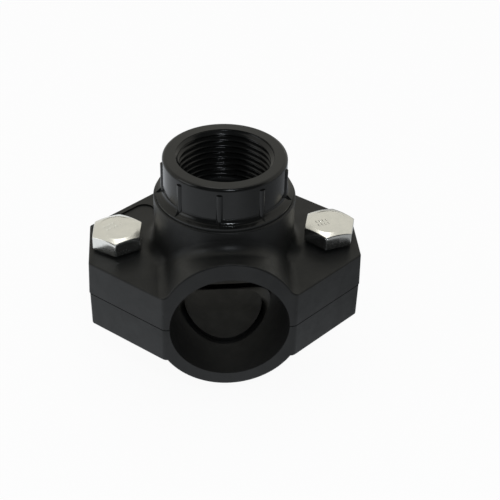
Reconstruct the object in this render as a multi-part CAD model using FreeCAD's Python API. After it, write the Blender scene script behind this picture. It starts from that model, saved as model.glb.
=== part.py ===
import FreeCAD, Part
import math
import os

# Tapping saddle: two moulded halves clamp round a pipe, with a threaded branch on the upper one.
# Millimetres. The origin is where the branch axis crosses the pipe axis, on the parting plane.
# +Y runs along the pipe, +Z up the branch, +X across the flanges to the right-hand bolt.

# Pipe bore and plan outline
pipe_diameter = 32.0
saddle_length = 51.7
flange_width = 75.0
flange_end_width = 17.2
ring_face_width = 35.1
end_edge_round = 1.0
ring_corner_round = 2.0
crown_foot_inset = 0.1

# Upper half
upper_flange_thickness = 10.3
upper_crown_wall = 5.1
upper_end_taper = 0.35
upper_foot_over_blend = 0.5
upper_edge_round = 0.4

# Lower half
lower_flange_thickness = 10.8
lower_belly_wall = 3.95
lower_end_inset = 0.2
lower_end_taper = 0.15
lower_edge_round = 0.6
parting_step_height = 0.25
parting_step_depth = 1.2

# Branch boss
branch_height = 38.05
shoulder_diameter = 38.4
shoulder_height = 26.25
shoulder_edge_round = 0.45
shoulder_step_diameter = 37.3
shoulder_step_height = 0.75
shoulder_step_fall = 0.5
boss_blend_radius = 3.0
collar_diameter = 33.4
collar_foot_chamfer = 0.55
rim_edge_round = 0.9
grip_rib_count = 9
grip_rib_width = 1.7
grip_rib_height = 0.5
grip_rib_top_gap = 2.0
grip_rib_first_angle = -8.5
grip_rib_toe_length = 1.9
grip_rib_toe_height = 2.6

# Branch thread, G3/4
thread_major_diameter = 26.441
thread_minor_diameter = 24.117
thread_socket_depth = 15.0
thread_relief_length = 2.3
inlet_diameter = 18.0

# Seal round the inlet, and its groove
seal_groove_inner_diameter = 22.2
seal_groove_outer_diameter = 27.4
seal_groove_depth = 2.1
seal_side_clearance = 0.15
lower_groove_depth = 1.2

# Bare plate recess beside the left-hand bolt
plate_recess_width = 6.4
plate_recess_length = 13.7
plate_recess_depth = 0.4
plate_recess_edge_inset = 1.7
plate_recess_from_corner = 10.1

# M8 bolts and nuts
bolt_diameter = 8.0
bolt_length = 25.0
bolt_end_distance = 8.2
bolt_hole_clearance = 0.4
head_across_flats = 13.0
head_height = 5.3
head_crown_diameter = 11.7
head_seat_height = 0.4
head_seat_diameter = 11.6
bolt_tip_chamfer = 0.7
left_head_turn = -4.0
right_head_turn = -14.0
nut_height = 6.5
nut_running_clearance = 0.05
nut_pocket_depth = 5.9
nut_pocket_clearance = 0.15
corner_chamfer_angle = 30.0

bore_radius = pipe_diameter / 2
half_length = saddle_length / 2
half_width = flange_width / 2
up = FreeCAD.Vector(0, 0, 1)
along = FreeCAD.Vector(0, 1, 0)
beyond = 1.0
close = 0.01
parallel = 0.999


def vector(x, y, z):
    return FreeCAD.Vector(x, y, z)


def upright(radius, low, high, x=0.0, y=0.0):
    """A cylinder with its axis along Z, from one height to another."""
    return Part.makeCylinder(radius, high - low, vector(x, y, low), up)


def along_pipe(radius, reach=half_length + beyond):
    """A cylinder on the pipe's axis that reaches equally far to both sides."""
    return Part.makeCylinder(radius, 2 * reach, vector(0, -reach, 0), along)


def face_of(points):
    """A flat face inside a closed polygon."""
    return Part.Face(Part.makePolygon(points + points[:1]))


def outline_points(height, end_inset, inset=0.0):
    """The eight plan corners at one height, with the two ends or the whole outline drawn in."""
    end_half = flange_end_width / 2
    face_half = ring_face_width / 2
    slope = vector(half_width - face_half, end_half - half_length, 0).normalize()
    normal = vector(-slope.y, slope.x, 0)
    offset = normal.dot(vector(face_half, half_length, 0)) - inset
    end_x = half_width - end_inset - inset
    end_y = (offset - normal.x * end_x) / normal.y
    face_y = half_length - inset
    face_x = (offset - normal.y * face_y) / normal.x
    quarter = [(end_x, end_y), (face_x, face_y)]
    corners = quarter + [(-x, y) for x, y in reversed(quarter)]
    corners += [(-x, -y) for x, y in corners]
    return [vector(x, y, height) for x, y in corners]


def outline_block(height, flange_thickness, end_inset, end_taper):
    """The plan outline carried up from the parting plane, with tapered ends and rounded upright edges."""
    reach = end_inset + end_taper * height / flange_thickness
    wires = []
    for level, drawn_in in ((0.0, end_inset), (height, reach)):
        points = outline_points(level, drawn_in)
        wires.append(Part.makePolygon(points + points[:1]))
    block = Part.makeLoft(wires, True, True)
    uprights = [e for e in block.Edges if abs(e.Vertexes[0].Z - e.Vertexes[1].Z) > height / 2]
    at_ends = [e for e in uprights if abs(e.CenterOfMass.x) > ring_face_width / 2 + beyond]
    at_faces = [e for e in uprights if abs(e.CenterOfMass.x) < ring_face_width / 2 + beyond]
    block = block.makeFillet(end_edge_round, at_ends)
    marks = [e.CenterOfMass for e in at_faces]
    at_faces = [e for e in block.Edges if any(e.CenterOfMass.isEqual(m, close) for m in marks)]
    return block.makeFillet(ring_corner_round, at_faces)


def crown_foot():
    """Half the width of the crown where it rises from the flange, inside the ring face's corners."""
    corners = outline_points(0.0, 0.0)
    slope = corners[0] - corners[1]
    turn = math.atan2(-slope.y, slope.x)
    return ring_face_width / 2 - ring_corner_round * math.tan(turn / 2) - crown_foot_inset


def crown_arc(thickness, crown_wall):
    """Radius and centre height of the arc through both feet on the flange and the crown's top."""
    foot = crown_foot()
    rise = bore_radius + crown_wall - thickness
    radius = (foot ** 2 + rise ** 2) / (2 * rise)
    return radius, bore_radius + crown_wall - radius


def upper_section():
    """The upper half's cross-section, an arched crown with a concave round at each foot."""
    thickness = upper_flange_thickness
    radius, centre = crown_arc(thickness, upper_crown_wall)
    foot_round = boss_blend_radius + upper_foot_over_blend
    round_z = thickness + foot_round
    round_x = math.sqrt((radius + foot_round) ** 2 - (round_z - centre) ** 2)
    share = radius / (radius + foot_round)
    crown_x, crown_z = share * round_x, centre + share * (round_z - centre)
    halfway = 0.5 * math.atan2(round_x, round_z - centre)
    toe_x = round_x - foot_round * math.sin(halfway)
    toe_z = round_z - foot_round * math.cos(halfway)
    top = centre + radius
    wide = half_width + beyond

    def point(x, z):
        return vector(x, -half_length - beyond, z)

    edges = [
        Part.LineSegment(point(-wide, 0), point(wide, 0)),
        Part.LineSegment(point(wide, 0), point(wide, thickness)),
        Part.LineSegment(point(wide, thickness), point(round_x, thickness)),
        Part.Arc(point(round_x, thickness), point(toe_x, toe_z), point(crown_x, crown_z)),
        Part.Arc(point(crown_x, crown_z), point(0, top), point(-crown_x, crown_z)),
        Part.Arc(point(-crown_x, crown_z), point(-toe_x, toe_z), point(-round_x, thickness)),
        Part.LineSegment(point(-round_x, thickness), point(-wide, thickness)),
        Part.LineSegment(point(-wide, thickness), point(-wide, 0)),
    ]
    wire = Part.Wire([edge.toShape() for edge in edges])
    return Part.Face(wire).extrude(vector(0, saddle_length + 2 * beyond, 0))


def is_rim_edge(edge, thickness):
    """True for an edge that runs round the plan outline on the half's outer surface."""
    low, high = edge.ParameterRange
    middle = edge.valueAt((low + high) / 2)
    run = edge.tangentAt((low + high) / 2)
    along_inside = abs(run.y) > parallel and abs(middle.x) < ring_face_width / 2 + beyond
    upright_edge = abs(run.z) > parallel
    return middle.z > thickness - close and not along_inside and not upright_edge


def upper_shell():
    """The upper half before its boss and bores, with its top edge rounded all the way round."""
    crown_top = bore_radius + upper_crown_wall
    block = outline_block(crown_top + beyond, upper_flange_thickness, 0.0, upper_end_taper)
    shell = block.common(upper_section()).removeSplitter()
    rim = [e for e in shell.Edges if is_rim_edge(e, upper_flange_thickness)]
    return shell.makeFillet(upper_edge_round, rim)


def lower_shell():
    """The lower half before its bores, built upside down: a flange plate and an arched belly."""
    thickness = lower_flange_thickness
    plate = outline_block(thickness, thickness, lower_end_inset, lower_end_taper)
    rim = [e for e in plate.Edges if is_rim_edge(e, thickness)]
    plate = plate.makeFillet(lower_edge_round, rim)
    radius, centre = crown_arc(thickness, lower_belly_wall)
    foot = crown_foot()

    def point(x, z):
        return vector(x, -half_length, z)

    arc = Part.Arc(point(foot, thickness), point(0, centre + radius), point(-foot, thickness))
    corners = [point(-foot, thickness), point(-foot, 0), point(foot, 0), point(foot, thickness)]
    section = Part.Wire([arc.toShape()] + Part.makePolygon(corners).Edges)
    belly = Part.Face(section).extrude(vector(0, saddle_length, 0))
    marks = [(e, e.CenterOfMass) for e in belly.Edges]
    ends = [e for e, mark in marks if mark.z > thickness + close and abs(mark.y) > close]
    belly = belly.makeFillet(lower_edge_round, ends)
    return plate.fuse(belly).removeSplitter()


def branch_boss():
    """Shoulder, sloping step, collar and rounded rim, turned about the branch axis."""
    shoulder = shoulder_diameter / 2
    step = shoulder_step_diameter / 2
    collar = collar_diameter / 2
    step_top = shoulder_height + shoulder_step_height
    ledge = step_top + shoulder_step_fall
    root = bore_radius / 2
    bend = math.sqrt(0.5)

    def point(r, z):
        return vector(r, 0, z)

    def round_off(r, z, size):
        """A quarter round on the outer top corner at r, z."""
        middle = point(r - size + size * bend, z - size + size * bend)
        return Part.Arc(point(r, z - size), middle, point(r - size, z))

    edge, rim = shoulder_edge_round, rim_edge_round
    profile = [
        Part.LineSegment(point(0, root), point(shoulder, root)),
        Part.LineSegment(point(shoulder, root), point(shoulder, shoulder_height - edge)),
        round_off(shoulder, shoulder_height, edge),
        Part.LineSegment(point(shoulder - edge, shoulder_height), point(step, shoulder_height)),
        Part.LineSegment(point(step, shoulder_height), point(step, step_top)),
        Part.LineSegment(point(step, step_top), point(collar + collar_foot_chamfer, ledge)),
        Part.LineSegment(point(collar + collar_foot_chamfer, ledge),
                         point(collar, ledge + collar_foot_chamfer)),
        Part.LineSegment(point(collar, ledge + collar_foot_chamfer),
                         point(collar, branch_height - rim)),
        round_off(collar, branch_height, rim),
        Part.LineSegment(point(collar - rim, branch_height), point(0, branch_height)),
        Part.LineSegment(point(0, branch_height), point(0, root)),
    ]
    face = Part.Face(Part.Wire([piece.toShape() for piece in profile]))
    return face.revolve(vector(0, 0, 0), up, 360)


def grip_rib():
    """One rounded rib up the collar's front, with a pointed toe on the ledge."""
    collar = collar_diameter / 2
    ledge = shoulder_height + shoulder_step_height
    half = grip_rib_width / 2
    top = branch_height - grip_rib_top_gap
    root = collar - grip_rib_height
    nose = collar + grip_rib_height
    flank_y = -math.sqrt(collar ** 2 - half ** 2)
    arc = Part.Arc(vector(-half, flank_y, ledge), vector(0, -nose, ledge), vector(half, flank_y, ledge))
    sides = [
        Part.LineSegment(vector(half, flank_y, ledge), vector(half, -root, ledge)),
        Part.LineSegment(vector(half, -root, ledge), vector(-half, -root, ledge)),
        Part.LineSegment(vector(-half, -root, ledge), vector(-half, flank_y, ledge)),
    ]
    wire = Part.Wire([arc.toShape()] + [side.toShape() for side in sides])
    rib = Part.Face(wire).extrude(vector(0, 0, top - ledge))
    left, right = vector(-half, -root, ledge), vector(half, -root, ledge)
    crest = vector(0, -root, ledge + grip_rib_toe_height)
    tip = vector(0, -collar - grip_rib_toe_length, ledge)
    toe_faces = [face_of(list(corners)) for corners in (
        (left, right, crest), (left, tip, right), (left, crest, tip), (right, tip, crest))]
    toe = Part.Solid(Part.Shell(toe_faces))
    if toe.Volume < 0:
        toe.reverse()
    return rib.fuse(toe)


def ring_groove(depth):
    """A groove concentric with the branch, cut to one depth past the pipe bore all round."""
    outer = seal_groove_outer_diameter / 2
    tube = upright(outer, -2 * bore_radius, 2 * bore_radius)
    tube = tube.cut(upright(seal_groove_inner_diameter / 2, -2 * bore_radius, 2 * bore_radius))
    return tube.common(along_pipe(bore_radius + depth))


def branch_passage():
    """Thread socket at its major diameter, relief and inlet, as the space to take away."""
    thread_foot = branch_height - thread_socket_depth
    relief_foot = thread_foot - thread_relief_length
    passage = upright(thread_major_diameter / 2, thread_foot, branch_height + beyond)
    passage = passage.fuse(upright(thread_minor_diameter / 2, relief_foot, thread_foot))
    return passage.fuse(upright(inlet_diameter / 2, 0, relief_foot))


def plate_recess():
    """The shallow pocket with round ends along the back left edge, as the space to take away."""
    radius = plate_recess_width / 2
    corners = outline_points(upper_flange_thickness - plate_recess_depth, upper_end_taper)
    face_corner, end_corner = corners[2], corners[3]
    run = (end_corner - face_corner).normalize()
    inward = vector(-run.y, run.x, 0)
    near = face_corner + run * plate_recess_from_corner + inward * (plate_recess_edge_inset + radius)
    far = near + run * (plate_recess_length - plate_recess_width)
    side = inward * radius
    height = plate_recess_depth + beyond
    pocket = face_of([near + side, far + side, far - side, near - side]).extrude(vector(0, 0, height))
    for centre in (near, far):
        pocket = pocket.fuse(Part.makeCylinder(radius, height, centre, up))
    return pocket


def bolt_places():
    """The two bolts' names, places across the saddle and head turns."""
    place = half_width - bolt_end_distance
    return (("left", -place, left_head_turn), ("right", place, right_head_turn))


def hexagon_bar(across_flats, low, high, turn=0.0):
    """An upright hexagonal bar on the Z axis, with a corner to the front at turn 0."""
    corner = across_flats / math.sqrt(3)
    points = []
    for side in range(6):
        angle = math.radians(60 * side - 90 + turn)
        points.append(vector(corner * math.cos(angle), corner * math.sin(angle), low))
    return face_of(points).extrude(vector(0, 0, high - low))


def cut_corners(bar, flat_radius, level, direction):
    """A hexagonal bar with the corners of one end turned off at the chamfer angle."""
    spread = 2 * bolt_diameter
    drop = spread * math.tan(math.radians(corner_chamfer_angle))
    cone = Part.makeCone(flat_radius, flat_radius + spread, drop, vector(0, 0, level),
                         vector(0, 0, -direction))
    return bar.common(cone)


def bolt(turn):
    """A hexagon bolt on the Z axis with its head's seat at height 0."""
    head = hexagon_bar(head_across_flats, head_seat_height, head_height, turn)
    head = cut_corners(head, head_crown_diameter / 2, head_height, 1)
    seat = upright(head_seat_diameter / 2, 0, head_seat_height)
    radius = bolt_diameter / 2
    shank = upright(radius, bolt_tip_chamfer - bolt_length, 0)
    tip = Part.makeCone(radius - bolt_tip_chamfer, radius, bolt_tip_chamfer, vector(0, 0, -bolt_length), up)
    return head.fuse([seat, shank, tip]).removeSplitter()


def nut():
    """A hexagon nut on the Z axis, hanging down from height 0, corners turned off at both ends."""
    blank = hexagon_bar(head_across_flats, -nut_height, 0)
    blank = cut_corners(blank, head_crown_diameter / 2, 0, 1)
    blank = cut_corners(blank, head_crown_diameter / 2, -nut_height, -1)
    hole = bolt_diameter / 2 + nut_running_clearance
    blank = blank.cut(upright(hole, -nut_height - beyond, beyond))
    for level, direction in ((0, -1), (-nut_height, 1)):
        sink = Part.makeCone(hole + bolt_tip_chamfer, hole, bolt_tip_chamfer, vector(0, 0, level),
                             vector(0, 0, direction))
        blank = blank.cut(sink)
    return blank


def bolt_holes(low, high):
    """Both clearance holes for the bolts, as the space to take away."""
    radius = bolt_diameter / 2 + bolt_hole_clearance
    holes = [upright(radius, low, high, x) for _, x, _ in bolt_places()]
    return holes[0].fuse(holes[1:])


def boss_foot_edges(body):
    """The edges where the boss's upright side meets the half under it."""
    found = []
    for edge in body.Edges:
        low, high = edge.ParameterRange
        points = [edge.valueAt(low + (high - low) * share) for share in (0.25, 0.5, 0.75)]
        on_side = all(abs(math.hypot(p.x, p.y) - shoulder_diameter / 2) < close for p in points)
        below = all(p.z < shoulder_height - shoulder_edge_round - close for p in points)
        upright_edge = abs(edge.tangentAt((low + high) / 2).z) > parallel
        if on_side and below and not upright_edge:
            found.append(edge)
    return found


def upper_space():
    """Everything above the parting plane."""
    size = 2 * flange_width
    return Part.makeBox(size, size, size, vector(-size / 2, -size / 2, 0))


def upper_saddle():
    """The upper half with its branch, ribs, bores, seal groove, bolt holes and plate recess."""
    body = upper_shell().fuse(branch_boss()).removeSplitter()
    body = body.makeFillet(boss_blend_radius, boss_foot_edges(body))
    for index in range(grip_rib_count):
        rib = grip_rib()
        rib.rotate(vector(0, 0, 0), up, grip_rib_first_angle + index * 360 / grip_rib_count)
        body = body.fuse(rib)
    body = body.cut(along_pipe(bore_radius))
    body = body.cut(branch_passage())
    body = body.cut(ring_groove(seal_groove_depth).common(upper_space()))
    body = body.cut(bolt_holes(-beyond, upper_flange_thickness + beyond))
    return body.cut(plate_recess())


def parting_step():
    """The narrow step all round the lower half's top edge, as the space to take away."""
    outside = face_of(outline_points(-parting_step_height, -beyond, -beyond))
    inside = face_of(outline_points(-parting_step_height, lower_end_inset, parting_step_depth))
    ring = outside.cut(inside)
    return ring.extrude(vector(0, 0, parting_step_height + beyond))


def lower_saddle():
    """The lower half with its bore, groove, parting step, bolt holes and nut pockets."""
    body = lower_shell()
    body.rotate(vector(0, 0, 0), along, 180)
    body = body.cut(along_pipe(bore_radius))
    body = body.cut(ring_groove(lower_groove_depth).cut(upper_space()))
    body = body.cut(parting_step())
    body = body.cut(bolt_holes(-lower_flange_thickness - beyond, beyond))
    for _, x, _ in bolt_places():
        pocket = hexagon_bar(head_across_flats + 2 * nut_pocket_clearance,
                             -lower_flange_thickness - beyond, nut_pocket_depth - lower_flange_thickness)
        pocket.translate(vector(x, 0, 0))
        body = body.cut(pocket)
    return body


def seal_ring():
    """The rubber seal in the upper half's groove, as the pipe presses it flush with the bore."""
    outer = seal_groove_outer_diameter / 2 - seal_side_clearance
    inner = seal_groove_inner_diameter / 2 + seal_side_clearance
    tube = upright(outer, 0, 2 * bore_radius).cut(upright(inner, 0, 2 * bore_radius))
    ring = tube.common(along_pipe(bore_radius + seal_groove_depth))
    return ring.cut(along_pipe(bore_radius))


def export(name, shape):
    solids = shape.Solids
    if len(solids) != 1:
        raise ValueError(name + " is not one solid: " + str(len(solids)))
    solids[0].exportStep(os.path.join("parts", name + ".step"))
    box = solids[0].BoundBox
    print(name, "valid", solids[0].isValid(), "volume", round(solids[0].Volume, 1),
          "box", [round(v, 2) for v in (box.XMin, box.XMax, box.YMin, box.YMax, box.ZMin, box.ZMax)])


os.makedirs("parts", exist_ok=True)
export("upper_saddle", upper_saddle())
export("lower_saddle", lower_saddle())
export("seal_ring", seal_ring())
for side, place, turn in bolt_places():
    fastener = bolt(turn)
    fastener.translate(vector(place, 0, upper_flange_thickness))
    export(side + "_bolt", fastener)
    threaded = nut()
    threaded.translate(vector(place, 0, nut_pocket_depth - lower_flange_thickness))
    export(side + "_nut", threaded)
print("height", branch_height + bore_radius + lower_belly_wall)
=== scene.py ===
import math

import bmesh
import bpy
import numpy as np
from mathutils import Matrix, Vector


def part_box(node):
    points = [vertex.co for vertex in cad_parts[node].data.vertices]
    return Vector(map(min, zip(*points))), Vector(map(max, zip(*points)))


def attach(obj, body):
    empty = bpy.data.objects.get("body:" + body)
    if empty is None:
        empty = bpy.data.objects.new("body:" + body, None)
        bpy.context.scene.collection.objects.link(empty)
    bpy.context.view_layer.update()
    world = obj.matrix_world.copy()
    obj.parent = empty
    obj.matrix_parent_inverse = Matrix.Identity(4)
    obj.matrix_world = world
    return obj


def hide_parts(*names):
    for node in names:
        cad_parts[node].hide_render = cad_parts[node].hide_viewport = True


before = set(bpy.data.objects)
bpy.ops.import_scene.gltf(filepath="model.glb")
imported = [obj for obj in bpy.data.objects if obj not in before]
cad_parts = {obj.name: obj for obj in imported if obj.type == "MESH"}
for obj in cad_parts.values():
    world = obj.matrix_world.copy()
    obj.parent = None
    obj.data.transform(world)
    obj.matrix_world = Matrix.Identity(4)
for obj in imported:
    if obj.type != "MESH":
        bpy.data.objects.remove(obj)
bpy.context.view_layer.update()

mm = 0.001  # sizes below are in millimetres, meshes and nodes are in metres


# Mesh building

mergeWithin = 1e-7  # metres


def columnAngles(count):
    # Even angles round the Z axis, the last one a step short of a full turn
    return np.linspace(0, 2 * np.pi, count, endpoint=False)


def gridQuads(rows, columns, wrapRows=False):
    # Joins each point of a rows x columns grid to its neighbours; columns always wrap round
    row = np.arange(rows if wrapRows else rows - 1)[:, None]
    column = np.arange(columns)[None, :]
    nextRow = (row + 1) % rows
    nextColumn = (column + 1) % columns
    corners = (row * columns + column, row * columns + nextColumn,
               nextRow * columns + nextColumn, nextRow * columns + column)
    return np.stack([c + 0 * row + 0 * column for c in corners], axis=-1).reshape(-1, 4)


def turned(radii, heights, angles):
    # Grid points from rows of radius and height over columns of angle about the Z axis:
    # x = r cos a, y = r sin a, z = height
    radii = radii + 0 * angles[None, :]
    heights = heights + 0 * angles[None, :]
    return np.stack([radii * np.cos(angles), radii * np.sin(angles), heights], axis=-1)


def makePiece(name, points, quads, material, body):
    # Puts a point array and a quad array in a mesh, closes seams and poles, rides on a body
    mesh = bpy.data.meshes.new(name)
    mesh.vertices.add(len(points))
    mesh.vertices.foreach_set("co", (points * mm).astype(np.float32).ravel())
    mesh.loops.add(quads.size)
    mesh.loops.foreach_set("vertex_index", quads.astype(np.int32).ravel())
    mesh.polygons.add(len(quads))
    mesh.polygons.foreach_set("loop_start", np.arange(0, quads.size, 4, dtype=np.int32))
    mesh.update(calc_edges=True)
    edit = bmesh.new()
    edit.from_mesh(mesh)
    bmesh.ops.remove_doubles(edit, verts=edit.verts, dist=mergeWithin)
    bmesh.ops.recalc_face_normals(edit, faces=edit.faces)
    edit.to_mesh(mesh)
    edit.free()
    mesh.validate()
    mesh.shade_smooth()
    piece = bpy.data.objects.new(name, mesh)
    bpy.context.scene.collection.objects.link(piece)
    mesh.materials.append(material)
    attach(piece, body)
    return piece


# Materials

noiseRange = (0.3, 0.7)  # most of a noise's values lie between these
zoneEdge = 0.05  # half the width over which one finish turns into the next


class Nodes:
    # Short calls for the nodes and links of one node tree
    def __init__(self, tree, coordinates="Object"):
        self.tree = tree
        self.place = self.add("ShaderNodeTexCoord").outputs[coordinates]

    def feed(self, value, target):
        # A socket is linked, a colour gets its alpha, and anything else is set as it is
        if isinstance(value, bpy.types.NodeSocket):
            self.tree.links.new(value, target)
        elif target.type == "RGBA":
            target.default_value = (*value, 1.0)
        else:
            target.default_value = value

    def setInputs(self, node, inputs):
        for name, value in inputs.items():
            self.feed(value, node.inputs[name])

    def add(self, kind, inputs=None, **settings):
        node = self.tree.nodes.new(kind)
        for name, value in settings.items():
            setattr(node, name, value)
        self.setInputs(node, inputs or {})
        return node

    def noise(self, scale, detail, roughness):
        return self.add("ShaderNodeTexNoise", {"Vector": self.place, "Scale": scale, "Detail": detail,
                                               "Roughness": roughness}).outputs["Fac"]

    def spread(self, source, low, high, span=noiseRange, **settings):
        # Carries span's two ends to low and high, and stops there
        return self.add("ShaderNodeMapRange", {"Value": source, "From Min": span[0], "From Max": span[1],
                                               "To Min": low, "To Max": high}, **settings).outputs["Result"]

    def zone(self, source, low, high, border):
        # low on the near side of the border and high past it, in millimetres
        return self.spread(source, low, high, ((border - zoneEdge) * mm, (border + zoneEdge) * mm))

    def mix(self, share, first, second, dataType="FLOAT"):
        return self.add("ShaderNodeMix", {"Factor": share, "A": first, "B": second},
                        data_type=dataType).outputs["Result"]

    def combine(self, operation, first, second):
        return self.add("ShaderNodeMath", {0: first, 1: second}, operation=operation).outputs["Value"]

    def bump(self, height, depth, strength, under=None):
        inputs = {"Height": height, "Distance": depth * mm, "Strength": strength}
        if under is not None:
            inputs["Normal"] = under
        return self.add("ShaderNodeBump", inputs).outputs["Normal"]


def newMaterial(name):
    # A material, short calls for its nodes, and its shader
    material = bpy.data.materials.new(name)
    material.use_nodes = True
    return material, Nodes(material.node_tree), material.node_tree.nodes["Principled BSDF"]


moulded = {
    "colour": (0.0042, 0.0044, 0.0043),
    "colourWorn": (0.0075, 0.0078, 0.0075),
    "ior": 1.49,
    "shine": 0.3,
    "bodyRough": (0.38, 0.5),
    "branchRough": (0.13, 0.22),
    "branchFoot": 26.7,  # the mould's branch insert starts here and is polished
    "coreRough": (0.54, 0.66),
    "coreRadius": 16.1,  # the core that makes the pipe's bore is left dull
    "patchNoise": (90.0, 5.0, 0.6),  # scale, detail, roughness
    "wearNoise": (260.0, 6.0, 0.65),
    "waveNoise": (140.0, 3.0, 0.5),
    "waveDepth": 0.06,
    "grainNoise": (2600.0, 2.0, 0.5),
    "grainDepth": 0.012,
    "bumpStrength": 0.5,
}


def mouldedPlastic(name, lowRough):
    # Black polypropylene with fine grain, slight flow waves and dull patches,
    # satin on the body, shinier above the foot of the branch and dull in the bore
    m = moulded
    material, n, shader = newMaterial(name)
    patches = n.spread(n.noise(*m["patchNoise"]), 0.0, 1.0)
    wear = n.noise(*m["wearNoise"])
    height = n.add("ShaderNodeSeparateXYZ", {"Vector": n.place}).outputs["Z"]
    acrossPipe = n.add("ShaderNodeVectorMath", {0: n.place, 1: (1, 0, 1)}, operation="MULTIPLY")
    fromPipe = n.add("ShaderNodeVectorMath", {0: acrossPipe.outputs["Vector"]}, operation="LENGTH")
    rough = n.mix(n.zone(height, 0.0, 1.0, m["branchFoot"]),
                  n.spread(wear, *lowRough), n.spread(wear, *m["branchRough"]))
    rough = n.mix(n.zone(fromPipe.outputs["Value"], 1.0, 0.0, m["coreRadius"]),
                  rough, n.spread(wear, *m["coreRough"]))
    waves = n.bump(n.noise(*m["waveNoise"]), m["waveDepth"], m["bumpStrength"])
    n.setInputs(shader, {
        "Base Color": n.mix(patches, m["colour"], m["colourWorn"], "RGBA"),
        "Roughness": rough,
        "Normal": n.bump(n.noise(*m["grainNoise"]), m["grainDepth"], m["bumpStrength"], waves),
        "IOR": m["ior"],
        "Specular IOR Level": m["shine"],
    })
    return material


rubber = {
    "colour": (0.010, 0.010, 0.010),
    "colourDusty": (0.024, 0.024, 0.025),
    "rough": (0.55, 0.8),
    "bloomNoise": (400.0, 5.0, 0.6),
    "roughNoise": (700.0, 4.0, 0.5),
    "grainNoise": (1500.0, 3.0, 0.5),
    "grainDepth": 0.03,
    "bumpStrength": 0.6,
}


def sealRubber():
    # Dull soft rubber with a dusty bloom
    r = rubber
    material, n, shader = newMaterial("seal_rubber_black")
    bloom = n.spread(n.noise(*r["bloomNoise"]), 0.0, 1.0)
    n.setInputs(shader, {
        "Base Color": n.mix(bloom, r["colour"], r["colourDusty"], "RGBA"),
        "Roughness": n.spread(n.noise(*r["roughNoise"]), *r["rough"]),
        "Normal": n.bump(n.noise(*r["grainNoise"]), r["grainDepth"], r["bumpStrength"]),
    })
    return material


plated = {
    "colour": (0.80, 0.79, 0.75),
    "colourDull": (0.74, 0.735, 0.70),
    "rough": (0.2, 0.28),
    "cloudNoise": (420.0, 5.0, 0.6),
    "roughNoise": (800.0, 5.0, 0.6),
    "dentNoise": (230.0, 2.0, 0.5),
    "dentDepth": 0.02,
    "grainNoise": (2400.0, 2.0, 0.5),
    "grainDepth": 0.004,
    "bumpStrength": 0.4,
}


def platedSteel():
    # Zinc-plated steel: soft mirror, cloudy plating and faint forging marks
    p = plated
    material, n, shader = newMaterial("zinc_plated_steel")
    clouds = n.spread(n.noise(*p["cloudNoise"]), 0.0, 1.0)
    dents = n.bump(n.noise(*p["dentNoise"]), p["dentDepth"], p["bumpStrength"])
    n.setInputs(shader, {
        "Base Color": n.mix(clouds, p["colour"], p["colourDull"], "RGBA"),
        "Roughness": n.spread(n.noise(*p["roughNoise"]), *p["rough"]),
        "Normal": n.bump(n.noise(*p["grainNoise"]), p["grainDepth"], p["bumpStrength"], dents),
        "Metallic": 1.0,
    })
    return material


plasticMaterial = mouldedPlastic("moulded_plastic", moulded["bodyRough"])
threadMaterial = mouldedPlastic("moulded_thread", moulded["branchRough"])
rubberMaterial = sealRubber()
steelMaterial = platedSteel()
for nodeName, nodeMaterial in (("upper_saddle", plasticMaterial), ("lower_saddle", plasticMaterial),
                               ("seal_ring", rubberMaterial)):
    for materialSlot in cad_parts[nodeName].material_slots:
        materialSlot.material = nodeMaterial
print("materials done")


# Branch thread

branchThread = {
    "pitch": 1.814,
    "rootRadius": 13.19,  # just inside the socket's wall
    "crestRadius": 12.07,
    "wallRadius": 13.6,  # hidden in the socket's wall
    "depth": 14.99,
    "mouthGap": 0.2,
    "firstCrest": 1.06,  # depth of the first crest at the back
    "backTurn": 0.25,  # part of a turn from +X to the back
    "crestSharpness": 0.8,  # below 1 narrows the crests
    "footSlope": 1.6,  # radius gained per height in the fill at the foot
    "columns": 216,
    "rowsPerTurn": 14,
}


def makeBranchThread():
    # Radius is a cosine wave along the axis that climbs one pitch per turn, with narrowed crests,
    # cut back by a 45 degree cone at the mouth and filled by a steep one at the foot
    t = branchThread
    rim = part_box("upper_saddle")[1].z / mm
    foot, top = rim - t["depth"], rim - t["mouthGap"]
    angles = columnAngles(t["columns"])
    rows = int((top - foot) / t["pitch"] * t["rowsPerTurn"])
    heights = np.linspace(foot, top, rows)[:, None]
    turns = angles[None, :] / (2 * np.pi) - t["backTurn"]
    phase = (heights - rim + t["firstCrest"]) / t["pitch"] - turns
    wave = (0.5 - 0.5 * np.cos(2 * np.pi * phase)) ** t["crestSharpness"]
    radii = t["crestRadius"] + (t["rootRadius"] - t["crestRadius"]) * wave
    mouthCone = t["rootRadius"] - (top - heights)
    footCone = t["crestRadius"] + t["footSlope"] * (heights - foot)
    radii = np.minimum(np.maximum(radii, mouthCone), footCone)
    inside = turned(radii, heights, angles)
    outside = turned(np.full((2, 1), t["wallRadius"]), np.array([[top], [foot]]), angles)
    points = np.concatenate([inside, outside]).reshape(-1, 3)
    makePiece("branch_thread_ridges", points, gridQuads(rows + 2, t["columns"], True),
              threadMaterial, "upper_half")


makeBranchThread()
print("branch thread done")


# Fillet at the foot of the collar

collarFillet = {
    "collarRadius": 16.7,
    "edgeRadius": 18.65,
    "edgeBelowRim": 11.05,
    "ledgeSlope": 0.357,
    "fillet": 1.6,
    "lift": 0.01,  # keeps it just proud of the ledge
    "sunk": 0.3,  # how deep its hidden back lies in the plastic
    "columns": 256,
    "rows": 20,
}


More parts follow.
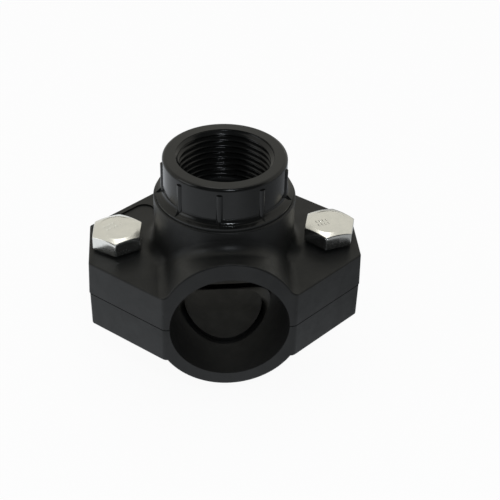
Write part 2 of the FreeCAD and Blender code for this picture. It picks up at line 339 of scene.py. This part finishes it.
def makeCollarFillet():
    # A hollow arc turned about the axis: radius c + f (1 - cos t) and height m - f sin t,
    # from the collar's wall at t = 0 to where it lies along the sloping ledge
    c = collarFillet
    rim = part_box("upper_saddle")[1].z / mm
    end = np.pi / 2 - math.atan(c["ledgeSlope"])
    arc = np.linspace(0, end, c["rows"])[:, None]
    radii = c["collarRadius"] + c["fillet"] * (1 - np.cos(arc))
    foot = rim - c["edgeBelowRim"] + (c["edgeRadius"] - radii[-1, 0]) * c["ledgeSlope"]
    middle = foot + c["fillet"] * math.sin(end)
    heights = middle - c["fillet"] * np.sin(arc) + c["lift"]
    backRadius, backHeight = [[c["collarRadius"] - c["sunk"]]], [[foot - c["sunk"]]]
    radii = np.concatenate([radii, radii[-1:], backRadius, backRadius])
    heights = np.concatenate([heights, backHeight, backHeight, heights[:1]])
    points = turned(radii, heights, columnAngles(c["columns"])).reshape(-1, 3)
    makePiece("collar_foot_fillet", points, gridQuads(len(radii), c["columns"], True),
              plasticMaterial, "upper_half")


makeCollarFillet()
print("collar fillet done")


# Bolts and nuts

fastener = {
    "acrossFlats": 13.0,
    "headHeight": 5.3,
    "crownRadius": 5.35,
    "crownCorner": 0.06,  # how soft the crown's edge is
    "crownSink": 0.15,  # the crown lies this much below its edge
    "sinkFrom": 0.1,  # the step down starts this far inside the edge
    "sinkWidth": 0.2,
    "chamferSlope": math.tan(math.radians(21)),
    "seatHeight": 0.6,
    "seatRadius": 5.7,
    "seatCorner": 0.05,
    "edgeRound": 0.14,
    "edgeSquash": 0.8,  # the upper edge's rounding is this much flatter
    "pitch": 1.25,
    "crestRadius": 3.97,
    "rootRadius": 3.3,
    "length": 25.0,
    "shankTop": 0.1,  # below the seat
    "neckLength": 0.6,  # no thread this far below the head
    "neckStep": 0.3,  # the neck's radius over the root's
    "tipChamfer": 0.7,
    "nutGap": 0.09,
    "nutHeight": 6.5,
    "nutChamfer": 0.3,
    "nutInner": 0.72,  # where a nut's faces start, as a share of its hexagon
    "columns": 192,
    "rowsPerTurn": 12,
}


def hexRadius(angles, turn):
    # Distance from the axis to a hexagon's side, its half width over the cosine of the angle
    # from the side's middle; a corner points to the front at turn 0
    corner = np.radians(-90 + turn)
    local = (angles - corner) % (np.pi / 3) - np.pi / 6
    return fastener["acrossFlats"] / 2 / np.cos(local)


def threadRadius(heights, angles, gap=0.0):
    # The bolt's cosine thread, which climbs one pitch per turn; gap makes room in a nut
    phase = heights / fastener["pitch"] - angles / (2 * np.pi)
    wave = 0.5 + 0.5 * np.cos(2 * np.pi * phase)
    depth = fastener["crestRadius"] - fastener["rootRadius"]
    return fastener["rootRadius"] + depth * wave + gap


def chamferedTop(radii, top):
    # Height of a flat crown, sunk inside a narrow step, whose rim falls away on a cone,
    # joined by a soft corner: half of over + sqrt(over squared + corner squared), times the slope
    f = fastener
    over = radii - f["crownRadius"]
    soft = 0.5 * (over + np.sqrt(over ** 2 + f["crownCorner"] ** 2))
    step = np.clip((-f["sinkFrom"] - over) / f["sinkWidth"], 0, 1)
    return top - soft * f["chamferSlope"] - f["crownSink"] * step


def headRows(turn, angles):
    # The head from its crown to its seat: radius and height rows over the columns,
    # with more rows towards the crown's edge and round the hexagon's edges
    f = fastener
    side = hexRadius(angles, turn)[None, :]
    crownShares = np.concatenate([np.linspace(0, 0.9, 7), np.linspace(0.93, 1.0, 8)])[:, None]
    crown = f["crownRadius"] * crownShares + 0 * side
    slopeShares = np.linspace(0.06, 1, 8)[:, None]
    slope = f["crownRadius"] + (side - f["edgeRound"] - f["crownRadius"]) * slopeShares
    topRadii = np.concatenate([crown, slope])
    topHeights = chamferedTop(topRadii, f["headHeight"])

    bends = np.radians([30, 60, 90])[:, None]
    roundRadii = side - f["edgeRound"] * (1 - np.sin(bends))
    drop = f["edgeRound"] * f["edgeSquash"] * (1 - np.cos(bends))
    roundHeights = chamferedTop(side, f["headHeight"]) - drop
    low = f["seatHeight"] + f["edgeRound"]
    sideHeights = roundHeights[-1:] + (low - roundHeights[-1:]) * np.linspace(0.2, 1, 5)[:, None]
    underRadii = side - f["edgeRound"] * (1 - np.cos(bends))
    underHeights = low - f["edgeRound"] * np.sin(bends)

    seatRadii = np.array([[f["seatRadius"] + f["seatCorner"]], [f["seatRadius"]],
                          [f["seatRadius"]], [f["crestRadius"]]])
    seatHeights = np.array([[f["seatHeight"]], [f["seatHeight"] - f["seatCorner"]], [0.0], [0.0]])
    radii = np.concatenate([topRadii, roundRadii, side + 0 * sideHeights, underRadii,
                            seatRadii + 0 * side])
    heights = np.concatenate([topHeights, roundHeights, sideHeights, underHeights + 0 * side,
                              seatHeights + 0 * side])
    return radii, heights


def makeBolt(side, x, seat, turn):
    # Head and threaded shank as one turned surface, closed at the crown and the tip;
    # the thread is cut back by a cone at the tip and by a neck that widens below the head
    f = fastener
    angles = columnAngles(f["columns"])
    headRadii, headHeights = headRows(turn, angles)
    rows = int(f["length"] / f["pitch"] * f["rowsPerTurn"])
    heights = np.linspace(-f["shankTop"], -f["length"], rows)[:, None]
    radii = threadRadius(heights + seat, angles[None, :])
    tipCone = f["crestRadius"] - f["tipChamfer"] + (heights + f["length"])
    widening = np.clip(-heights - f["neckLength"], 0, 1)
    neck = f["rootRadius"] + f["neckStep"] + (f["crestRadius"] - f["rootRadius"]) * widening
    radii = np.minimum(np.minimum(radii, tipCone), neck)
    tip = radii[-1:] * np.array([[0.5], [0.0]])
    radii = np.concatenate([headRadii, radii, tip])
    heights = np.concatenate([headHeights, heights + 0 * angles[None, :],
                              np.full((2, len(angles)), -f["length"])])
    points = turned(radii, heights, angles).reshape(-1, 3) + np.array([x, 0, seat])
    bolt = makePiece(side + "_bolt_threaded", points, gridQuads(len(radii), f["columns"]),
                     steelMaterial, side + "_bolt_body")
    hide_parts(side + "_bolt")


strokes = {
    "length": 1.15,
    "width": 0.46,
    "between": 0.98,
    "rowsApart": 1.65,
    "perRow": 4,
    "lean": (6, 1, 9, 4, 5, 10, 2, 7),  # degrees, uneven as struck by hand
    "columns": 24,
}


def makeStrokes(side, x, top, rowTurn, middle):
    # Two short rows of plain raised strokes on the crown, each a low dome: a superellipse
    # outline scaled row by row, whose height falls with the square of that scale
    s = strokes
    sink = fastener["crownSink"]
    angles = columnAngles(s["columns"])
    outline = [np.sign(wave) * np.sqrt(np.abs(wave)) for wave in (np.sin(angles), np.cos(angles))]
    scales = np.array([0.0, 1.0, 1.0, 0.85, 0.65, 0.4, 0.2, 0.0])[:, None]
    heights = -sink * scales ** 2 + 0 * angles
    heights[:2] = -2 * sink  # the underside, hidden below the crown
    along = (np.arange(s["perRow"]) - (s["perRow"] - 1) / 2) * s["between"]
    across = np.array([0.5, -0.5]) * s["rowsApart"]
    centres = np.stack(np.meshgrid(along, across), axis=-1).reshape(-1, 1, 1, 2)
    lean = np.radians(s["lean"])[:, None, None]
    wide = scales * outline[0] * s["width"] / 2
    tall = scales * outline[1] * s["length"] / 2
    u = centres[..., 0] + wide * np.cos(lean) - tall * np.sin(lean)
    v = centres[..., 1] + wide * np.sin(lean) + tall * np.cos(lean)
    turn = math.radians(rowTurn)
    points = np.stack([x + middle[0] + u * math.cos(turn) - v * math.sin(turn),
                       middle[1] + u * math.sin(turn) + v * math.cos(turn),
                       top + heights + 0 * u], axis=-1).reshape(-1, 3)
    quads = gridQuads(len(scales), len(angles))
    starts = np.arange(len(centres))[:, None, None] * scales.size * angles.size
    makePiece(side + "_crown_strokes", points, (quads + starts).reshape(-1, 4),
              steelMaterial, side + "_bolt_body")


def makeNut(side, x, top):
    # Hexagonal outside with coned corners, and the bolt's thread with a gap as its bore,
    # opened by a 45 degree cone at both ends
    f = fastener
    angles = columnAngles(f["columns"])
    hexSide = hexRadius(angles, 0)[None, :]
    faceRadii = hexSide * np.linspace(f["nutInner"], 1, 11)[:, None]
    coned = np.maximum(faceRadii - f["crownRadius"], 0) * f["chamferSlope"]
    rows = int(f["nutHeight"] / f["pitch"] * f["rowsPerTurn"])
    boreHeights = np.linspace(-f["nutHeight"], 0, rows)[:, None]
    bore = threadRadius(boreHeights + top, angles[None, :], f["nutGap"])
    fromEnd = np.minimum(-boreHeights, boreHeights + f["nutHeight"])
    bore = np.maximum(bore, f["crestRadius"] + f["nutChamfer"] - fromEnd)
    radii = np.concatenate([faceRadii, faceRadii[::-1], bore])
    heights = np.concatenate([-coned, (coned - f["nutHeight"])[::-1], boreHeights + 0 * hexSide])
    points = turned(radii, heights, angles).reshape(-1, 3) + np.array([x, 0, top])
    nut = makePiece(side + "_nut_threaded", points, gridQuads(len(radii), f["columns"], True),
                    steelMaterial, "lower_half")
    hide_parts(side + "_nut")


heads = {
    "left": {"turn": -4.0, "rowTurn": 38.0, "middle": (-2.0, 0.9)},
    "right": {"turn": -14.0, "rowTurn": 18.0, "middle": (-2.0, -0.2)},
}
for side, head in heads.items():
    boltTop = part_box(side + "_bolt")[1].z / mm
    nutLow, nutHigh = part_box(side + "_nut")
    x = (nutLow.x + nutHigh.x) / 2 / mm
    makeBolt(side, x, boltTop - fastener["headHeight"], head["turn"])
    makeStrokes(side, x, boltTop, head["rowTurn"], head["middle"])
    makeNut(side, x, nutHigh.z / mm)
print("bolts and nuts done")


# Floor, light and camera

studio = {
    "floorHeight": -28.0,
    "floorSize": 6000.0,
    "floorColour": (0.86, 0.86, 0.86),
    "floorRough": 0.9,
    "floorLift": 0.94,  # share of white in what is seen of the floor; the rest keeps the shadow
    # painted reflection: the floor is mirrored as a glow that fades to dark in front and to the right,
    # painting darker reflections on the part's faces
    "floorGlow": (0.92, 0.96, 1.0),  # the floor as it is mirrored
    "paintedDarkReflection": (0.08, 0.085, 0.09),  # what that fades to in front and to the right
    "fadeFront": (-90.0, -210.0, 1.0),  # from, to, share
    "fadeRight": (10.0, 80.0, 0.72),
    "ambient": 0.55,
    "surround": (0.73, 0.72, 0.655),  # the room as it is mirrored
    "darkSpot": (0.012, 0.013, 0.015),  # its dark front wall
    "darkDirection": (0.05, -0.866, 0.5),
    "darkFrom": 0.3,  # cosines of the angle from that direction
    "darkFull": 0.6,
}
pureWhite = (1.0, 1.0, 1.0)


def shownRays(n):
    # 1 for camera, glossy and transmission rays, 0 for the rays that light surfaces,
    # and beside it 1 for camera rays only
    rays = n.add("ShaderNodeLightPath").outputs
    shown = rays["Is Camera Ray"]
    for name in ("Is Glossy Ray", "Is Transmission Ray"):
        shown = n.combine("MAXIMUM", shown, rays[name])
    return shown, rays["Is Camera Ray"]


def makeFloor():
    # A flat square, white to the camera but for the object's shadow, and plain pale where it lights the
    # object;
    # in reflections a painted glow, pale but fading to dark in front and to the right, with the shadow kept
    s = studio
    half, z = s["floorSize"] / 2 * mm, s["floorHeight"] * mm
    mesh = bpy.data.meshes.new("floor")
    mesh.from_pydata([(-half, -half, z), (half, -half, z), (half, half, z), (-half, half, z)],
                     [], [(0, 1, 2, 3)])
    floor = bpy.data.objects.new("floor", mesh)
    bpy.context.scene.collection.objects.link(floor)
    material, n, shader = newMaterial("pale_floor")
    n.setInputs(shader, {"Base Color": s["floorColour"], "Roughness": s["floorRough"]})
    shown, byCamera = shownRays(n)
    parts = n.add("ShaderNodeSeparateXYZ", {"Vector": n.place}).outputs
    # Painted reflection: the mirrored floor fades from its pale glow to dark towards the front and the
    # right
    fades = [n.spread(parts[axis], 0.0, share, (start * mm, end * mm))
             for axis, (start, end, share) in (("Y", s["fadeFront"]), ("X", s["fadeRight"]))]
    mirrored = n.mix(n.combine("MAXIMUM", *fades), s["floorGlow"], s["paintedDarkReflection"], "RGBA")
    glow = n.add("ShaderNodeEmission",
                 {"Color": n.mix(byCamera, mirrored, pureWhite, "RGBA"), "Strength": 1.0})
    whole = n.add("ShaderNodeMixShader", {"Fac": n.combine("MULTIPLY", shown, s["floorLift"]),
                                          1: shader.outputs["BSDF"], 2: glow.outputs["Emission"]})
    n.feed(whole.outputs["Shader"], n.tree.nodes["Material Output"].inputs["Surface"])
    mesh.materials.append(material)


def makeWorld():
    # White for the camera, a white room with a dark front wall for reflections,
    # and a plain even light for everything else
    s = studio
    world = bpy.data.worlds.new("studio")
    bpy.context.scene.world = world
    world.use_nodes = True
    n = Nodes(world.node_tree, "Generated")
    direction = np.array(s["darkDirection"])
    facing = n.add("ShaderNodeVectorMath", {0: n.place, 1: direction / np.linalg.norm(direction)},
                   operation="DOT_PRODUCT").outputs["Value"]
    darkShare = n.spread(facing, 0.0, 1.0, (s["darkFrom"], s["darkFull"]),
                         interpolation_type="SMOOTHSTEP")
    room = n.mix(darkShare, s["surround"], s["darkSpot"], "RGBA")
    shown, byCamera = shownRays(n)
    lit = n.mix(shown, (s["ambient"],) * 3, room, "RGBA")
    n.setInputs(world.node_tree.nodes["Background"],
                {"Color": n.mix(byCamera, lit, pureWhite, "RGBA"), "Strength": 1.0})


softboxes = (
    {"name": "top_softbox", "place": (0, 190, 610), "size": (220, 220), "power": 0.22,
     "colour": (1.0, 0.99, 0.95)},
    {"name": "front_softbox", "place": (65, -464, 520), "size": (120, 34), "power": 0.95,
     "colour": (0.88, 0.94, 1.0)},
    {"name": "left_softbox", "place": (-560, -140, 300), "size": (320, 320), "power": 0.45,
     "colour": (0.9, 0.95, 1.0)},
)
softboxAim = (0, 0, 10)


def facingMatrix(back, place):
    # A lamp's matrix from the direction behind it and its place in millimetres, its top upward
    right = np.cross((0.0, 0.0, 1.0), back)
    right = right / np.linalg.norm(right)
    matrix = np.eye(4)
    matrix[:3, :3] = np.stack([right, np.cross(back, right), back], axis=1)
    matrix[:3, 3] = place * mm
    return Matrix(matrix.tolist())


def makeSoftboxes():
    for box in softboxes:
        light = bpy.data.lights.new(box["name"], "AREA")
        light.shape = "RECTANGLE"
        light.size, light.size_y = (length * mm for length in box["size"])
        light.energy = box["power"]
        light.color = box["colour"]
        lamp = bpy.data.objects.new(box["name"], light)
        bpy.context.scene.collection.objects.link(lamp)
        place = np.array(box["place"], float)
        away = place - np.array(softboxAim, float)
        lamp.matrix_world = facingMatrix(away / np.linalg.norm(away), place)


view = {
    "yaw": 5.673,  # degrees, about the branch
    "pitch": 36.394,  # degrees, down on the part
    "roll": 1.627,
    "place": (-19.387, -269.145, 205.867),
    "lens": 86.3437,
    "clipStart": 10.0,
}


def makeCamera():
    # Axes of the camera from its pitch and roll, turned about Z by its yaw
    pitch, roll, yaw = (math.radians(view[k]) for k in ("pitch", "roll", "yaw"))
    right = np.array([1.0, 0.0, 0.0])
    ahead = np.array([0.0, math.cos(pitch), -math.sin(pitch)])
    upward = np.array([0.0, math.sin(pitch), math.cos(pitch)])
    axes = np.stack([math.cos(roll) * right + math.sin(roll) * upward,
                     math.cos(roll) * upward - math.sin(roll) * right, -ahead], axis=1)
    turn = np.array([[math.cos(yaw), math.sin(yaw), 0], [-math.sin(yaw), math.cos(yaw), 0], [0, 0, 1]])
    matrix = np.eye(4)
    matrix[:3, :3] = turn @ axes
    matrix[:3, 3] = np.array(view["place"]) * mm
    cameraData = bpy.data.cameras.new("photo_view")
    cameraData.lens = view["lens"]
    cameraData.clip_start = view["clipStart"] * mm
    cameraObject = bpy.data.objects.new("photo_view", cameraData)
    bpy.context.scene.collection.objects.link(cameraObject)
    cameraObject.matrix_world = Matrix(matrix.tolist())
    bpy.context.scene.camera = cameraObject


makeFloor()
makeWorld()
makeSoftboxes()
makeCamera()
bpy.context.scene.view_settings.view_transform = "Standard"
print("studio done")
